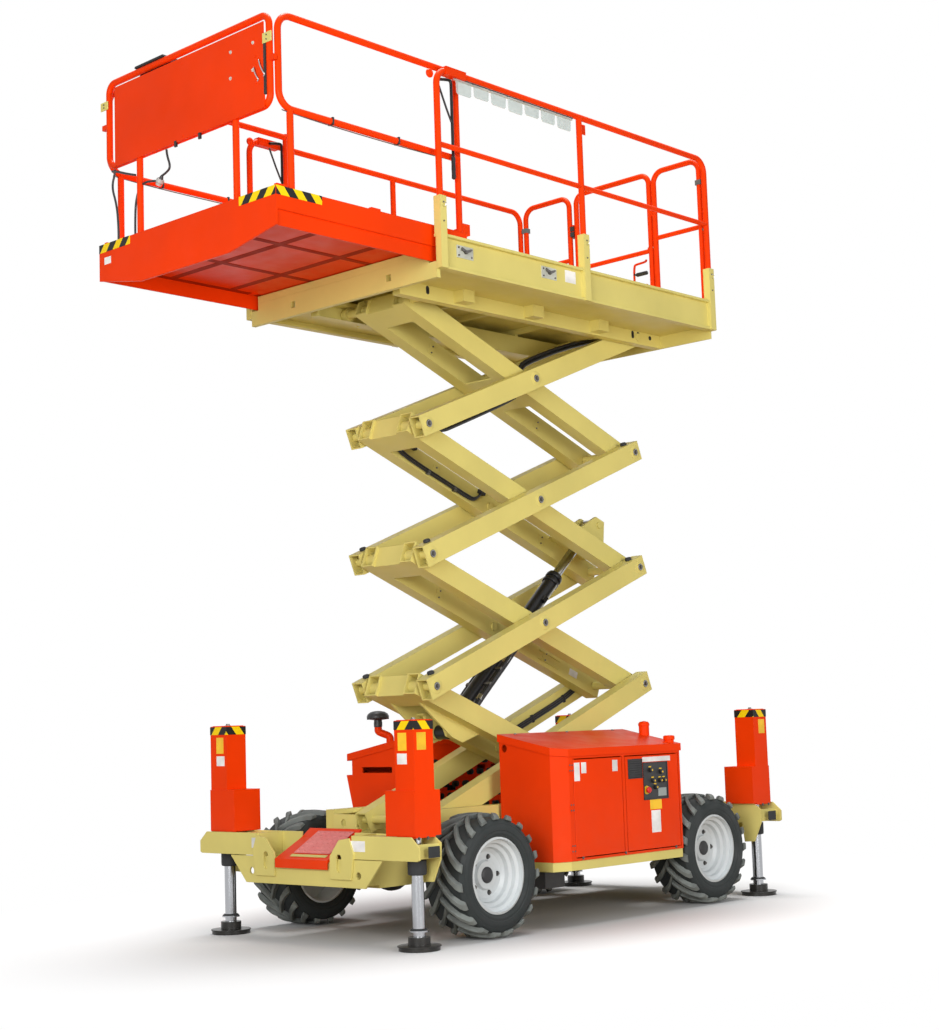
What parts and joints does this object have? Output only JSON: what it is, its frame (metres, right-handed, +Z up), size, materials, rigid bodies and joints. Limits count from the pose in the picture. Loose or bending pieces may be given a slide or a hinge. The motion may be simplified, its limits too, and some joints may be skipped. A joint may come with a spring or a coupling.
{
  "type": "scissor lift",
  "caption": "Rough-terrain scissor lift with a stack of crossed arms, a railed platform with a sliding deck extension and outrigger jacks at the corners.",
  "frame": {"origin": "on the floor, midway between the axles and between the wheels", "axes": "+X towards the steered wheels and the deck extension, +Y to the machine's left, +Z up"},
  "size_m": [4.28, 1.842, 4.987],
  "materials": {
    "cream_paint": "satin",
    "orange_paint": "satin",
    "tyre_rubber": "matt",
    "rim_silver": "satin",
    "chrome_rod": "polished",
    "black_paint": "satin",
    "cast": "matt"
  },
  "bodies": {
    "chassis": {"chassis_frame": "cream_paint", "front_outrigger_beam": "cream_paint", "rear_outrigger_beam": "cream_paint", "front_jack_housings": "orange_paint", "rear_jack_housings": "orange_paint", "front_axle": "cream_paint", "rear_axle": "cream_paint", "hood_left": "orange_paint", "hood_right": "orange_paint", "hood_lid_left": "orange_paint", "hood_lid_right": "orange_paint", "engine_block": "cast", "air_intake": "orange_paint", "front_step_tray": "orange_paint", "rear_steps": "cream_paint"},
    "inner_scissor_1": {"inner_arms_1": "cream_paint"},
    "outer_scissor_1": {"outer_arms_1": "cream_paint"},
    "inner_scissor_2": {"inner_arms_2": "cream_paint"},
    "outer_scissor_2": {"outer_arms_2": "cream_paint"},
    "inner_scissor_3": {"inner_arms_3": "cream_paint"},
    "outer_scissor_3": {"outer_arms_3": "cream_paint"},
    "inner_scissor_4": {"inner_arms_4": "cream_paint"},
    "outer_scissor_4": {"outer_arms_4": "cream_paint"},
    "lift_barrel": {"lift_cylinder_barrel": "black_paint"},
    "lift_rod": {"lift_cylinder_rod": "chrome_rod"},
    "platform": {"platform_frame": "cream_paint", "platform_beams": "cream_paint", "platform_floor": "cream_paint", "main_rail_left": "orange_paint", "main_rail_right": "orange_paint", "rear_rails": "orange_paint"},
    "gate": {"rear_gate": "orange_paint"},
    "extension": {"extension_deck": "orange_paint", "extension_rail_left": "orange_paint", "extension_rail_right": "orange_paint", "extension_front_rail": "orange_paint", "front_panel": "orange_paint"},
    "jack_fl": {"jack_leg_fl": "chrome_rod", "jack_pad_fl": "black_paint"},
    "jack_fr": {"jack_leg_fr": "chrome_rod", "jack_pad_fr": "black_paint"},
    "jack_rl": {"jack_leg_rl": "chrome_rod", "jack_pad_rl": "black_paint"},
    "jack_rr": {"jack_leg_rr": "chrome_rod", "jack_pad_rr": "black_paint"},
    "knuckle_left": {"steering_knuckle_left": "cast"},
    "knuckle_right": {"steering_knuckle_right": "cast"},
    "wheel_fl": {"tyre_fl": "tyre_rubber", "wheel_rim_fl": "rim_silver"},
    "wheel_fr": {"tyre_fr": "tyre_rubber", "wheel_rim_fr": "rim_silver"},
    "wheel_rl": {"tyre_rl": "tyre_rubber", "wheel_rim_rl": "rim_silver"},
    "wheel_rr": {"tyre_rr": "tyre_rubber", "wheel_rim_rr": "rim_silver"},
    "door_left_front": {"hood_door_left_front": "orange_paint"},
    "door_left_rear": {"hood_door_left_rear": "orange_paint"},
    "door_right_front": {"hood_door_right_front": "orange_paint"},
    "door_right_rear": {"hood_door_right_rear": "orange_paint"}
  },
  "joints": [
    {"name": "lift", "type": "hinge", "parent": "chassis", "child": "inner_scissor_1", "pos_m": [-1.06, 0, 0.631], "axis": [0, -1, 0], "range_deg": [-17.15, 35.04]},
    {"name": "scissor_centre_1", "type": "hinge", "parent": "inner_scissor_1", "child": "outer_scissor_1", "pos_m": [-0.06883, 0, 1.02063], "axis": [0, -1, 0], "range_deg": [-71.08, 35.3]},
    {"name": "scissor_end_1", "type": "hinge", "parent": "outer_scissor_1", "child": "inner_scissor_2", "pos_m": [-1.06, 0, 1.41026], "axis": [0, -1, 0], "range_deg": [-35.3, 71.08]},
    {"name": "scissor_centre_2", "type": "hinge", "parent": "inner_scissor_2", "child": "outer_scissor_2", "pos_m": [-0.06883, 0, 1.7999], "axis": [0, -1, 0], "range_deg": [-71.08, 35.3]},
    {"name": "scissor_end_2", "type": "hinge", "parent": "outer_scissor_2", "child": "inner_scissor_3", "pos_m": [-1.06, 0, 2.18953], "axis": [0, -1, 0], "range_deg": [-35.3, 71.08]},
    {"name": "scissor_centre_3", "type": "hinge", "parent": "inner_scissor_3", "child": "outer_scissor_3", "pos_m": [-0.06883, 0, 2.57916], "axis": [0, -1, 0], "range_deg": [-71.08, 35.3]},
    {"name": "scissor_end_3", "type": "hinge", "parent": "outer_scissor_3", "child": "inner_scissor_4", "pos_m": [-1.06, 0, 2.96879], "axis": [0, -1, 0], "range_deg": [-35.3, 71.08]},
    {"name": "scissor_centre_4", "type": "hinge", "parent": "inner_scissor_4", "child": "outer_scissor_4", "pos_m": [-0.06883, 0, 3.35842], "axis": [0, -1, 0], "range_deg": [-71.08, 35.3]},
    {"name": "platform_level", "type": "hinge", "parent": "outer_scissor_4", "child": "platform", "pos_m": [-1.06, 0, 3.74806], "axis": [0, -1, 0], "range_deg": [-18.15, 36.04]},
    {"name": "lift_cylinder_tilt", "type": "hinge", "parent": "inner_scissor_1", "child": "lift_barrel", "pos_m": [0.536, 0, 1.138], "axis": [0, -1, 0], "range_deg": [-71.08, 35.3]},
    {"name": "lift_cylinder_stroke", "type": "slide", "parent": "lift_barrel", "child": "lift_rod", "axis": [-0.7395, 0, 0.6732], "range_m": [-0.414, 0.836]},
    {"name": "deck_extension", "type": "slide", "parent": "platform", "child": "extension", "axis": [1, 0, 0], "range_m": [-1.14, 0]},
    {"name": "gate", "type": "hinge", "parent": "platform", "child": "gate", "pos_m": [-1.301, -0.332, 4.4], "axis": [0, 0, -1], "range_deg": [0, 90]},
    {"name": "jack_fl", "type": "slide", "parent": "chassis", "child": "jack_fl", "axis": [0, 0, 1], "range_m": [0, 0.25]},
    {"name": "jack_fr", "type": "slide", "parent": "chassis", "child": "jack_fr", "axis": [0, 0, 1], "range_m": [0, 0.25]},
    {"name": "jack_rl", "type": "slide", "parent": "chassis", "child": "jack_rl", "axis": [0, 0, 1], "range_m": [0, 0.25]},
    {"name": "jack_rr", "type": "slide", "parent": "chassis", "child": "jack_rr", "axis": [0, 0, 1], "range_m": [0, 0.25]},
    {"name": "steer_left", "type": "hinge", "parent": "chassis", "child": "knuckle_left", "pos_m": [1.02, 0.52, 0.345], "axis": [0, 0, 1], "range_deg": [-25, 25]},
    {"name": "steer_right", "type": "hinge", "parent": "chassis", "child": "knuckle_right", "pos_m": [1.02, -0.52, 0.345], "axis": [0, 0, 1], "range_deg": [-25, 25]},
    {"name": "wheel_fl", "type": "hinge", "parent": "knuckle_left", "child": "wheel_fl", "pos_m": [1.02, 0.722, 0.345], "axis": [0, 1, 0], "continuous": true},
    {"name": "wheel_fr", "type": "hinge", "parent": "knuckle_right", "child": "wheel_fr", "pos_m": [1.02, -0.722, 0.345], "axis": [0, 1, 0], "continuous": true},
    {"name": "wheel_rl", "type": "hinge", "parent": "chassis", "child": "wheel_rl", "pos_m": [-1.02, 0.722, 0.345], "axis": [0, 1, 0], "continuous": true},
    {"name": "wheel_rr", "type": "hinge", "parent": "chassis", "child": "wheel_rr", "pos_m": [-1.02, -0.722, 0.345], "axis": [0, 1, 0], "continuous": true},
    {"name": "door_left_front", "type": "hinge", "parent": "chassis", "child": "door_left_front", "pos_m": [0.352, 0.862, 0.66], "axis": [0, 0, -1], "range_deg": [0, 95]},
    {"name": "door_left_rear", "type": "hinge", "parent": "chassis", "child": "door_left_rear", "pos_m": [-0.649, 0.862, 0.66], "axis": [0, 0, 1], "range_deg": [0, 95]},
    {"name": "door_right_front", "type": "hinge", "parent": "chassis", "child": "door_right_front", "pos_m": [0.352, -0.84583, 0.61576], "axis": [0, -0.2466, 0.9691], "range_deg": [0, 95]},
    {"name": "door_right_rear", "type": "hinge", "parent": "chassis", "child": "door_right_rear", "pos_m": [-0.649, -0.84583, 0.61576], "axis": [0, 0.2466, -0.9691], "range_deg": [0, 95]}
  ],
  "couplings": [
    {"joint": "scissor_centre_1", "follows": "lift", "ratio": -2},
    {"joint": "scissor_end_1", "follows": "lift", "ratio": 2},
    {"joint": "scissor_centre_2", "follows": "lift", "ratio": -2},
    {"joint": "scissor_end_2", "follows": "lift", "ratio": 2},
    {"joint": "scissor_centre_3", "follows": "lift", "ratio": -2},
    {"joint": "scissor_end_3", "follows": "lift", "ratio": 2},
    {"joint": "scissor_centre_4", "follows": "lift", "ratio": -2},
    {"joint": "platform_level", "follows": "lift", "ratio": 1},
    {"joint": "lift_cylinder_tilt", "follows": "lift", "ratio": -2},
    {"joint": "lift_cylinder_stroke", "follows": "lift", "m_per_rad": 1.35},
    {"joint": "steer_right", "follows": "steer_left", "ratio": 1}
  ]
}
